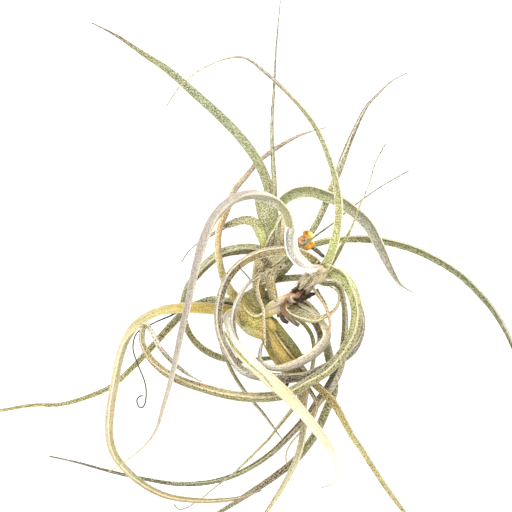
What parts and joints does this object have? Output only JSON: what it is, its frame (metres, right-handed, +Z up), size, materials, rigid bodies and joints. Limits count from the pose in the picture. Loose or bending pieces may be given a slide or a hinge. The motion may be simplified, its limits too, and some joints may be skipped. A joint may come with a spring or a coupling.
{
  "type": "air plant",
  "caption": "Bare-rooted curly air plant: short sheathed shoots joined at one heart, with long channelled leaves looping and trailing from them.",
  "frame": {"origin": "centre of the plant's bounding box at the surface it lies on", "axes": "+Z up from that surface, +Y along the shoot that points up in plan, +X to the side of the pale shoot"},
  "size_m": [0.2856, 0.2776, 0.0849],
  "materials": {
    "green_sheath": "satin, speckled",
    "golden_sheath": "satin, speckled",
    "pale_stem": "matt, fibrous",
    "silver_leaf": "matt, scurfy",
    "tan_leaf": "matt, scurfy",
    "green_leaf": "satin, speckled",
    "grey_leaf": "matt, scurfy",
    "dark_leaf": "satin, speckled",
    "golden_leaf": "satin, speckled",
    "cream_leaf": "matt, scurfy",
    "orange_petal": "dry, crumpled",
    "dried_brown": "dry, fibrous"
  },
  "bodies": {
    "root": {"upper_shoot": "green_sheath", "lower_shoot": "golden_sheath", "left_shoot": "golden_sheath", "right_shoot": "pale_stem", "silver_arch_leaf": "silver_leaf", "tall_arch_leaf": "tan_leaf", "upper_thread_leaf": "tan_leaf", "green_loop_leaf": "green_leaf", "grey_spiral_leaf": "grey_leaf", "dark_trailing_leaf": "dark_leaf", "lower_green_leaf": "dark_leaf", "lower_straw_leaf": "golden_leaf", "inner_curl_leaf": "green_leaf", "peach_thread_leaf": "tan_leaf", "beige_curl_leaf": "grey_leaf", "long_left_leaf": "dark_leaf", "golden_loop_leaf": "golden_leaf", "tan_hook_leaf": "golden_leaf", "grey_narrow_leaf": "grey_leaf", "cream_front_leaf": "cream_leaf", "broad_upper_leaf": "green_leaf", "upright_leaf": "tan_leaf", "right_arch_leaf": "green_leaf", "small_left_curl_leaf": "green_leaf", "left_spiral_leaf": "dark_leaf", "upper_right_leaf": "tan_leaf", "thin_right_leaf": "dark_leaf", "long_right_leaf": "green_leaf", "lower_right_leaf": "golden_leaf", "reddish_thread_leaf": "tan_leaf", "thin_lower_leaf": "green_leaf", "dark_short_leaf": "dried_brown", "centre_curl_leaf": "cream_leaf", "grey_short_leaf": "silver_leaf", "curly_tendril_leaf": "dark_leaf", "flower_stalk": "green_sheath", "flower_cup": "grey_leaf", "petal_1": "orange_petal", "petal_2": "orange_petal", "petal_3": "orange_petal", "dried_stub_1": "dried_brown", "dried_stub_2": "dried_brown", "dried_collar": "dried_brown"}
  },
  "joints": []
}
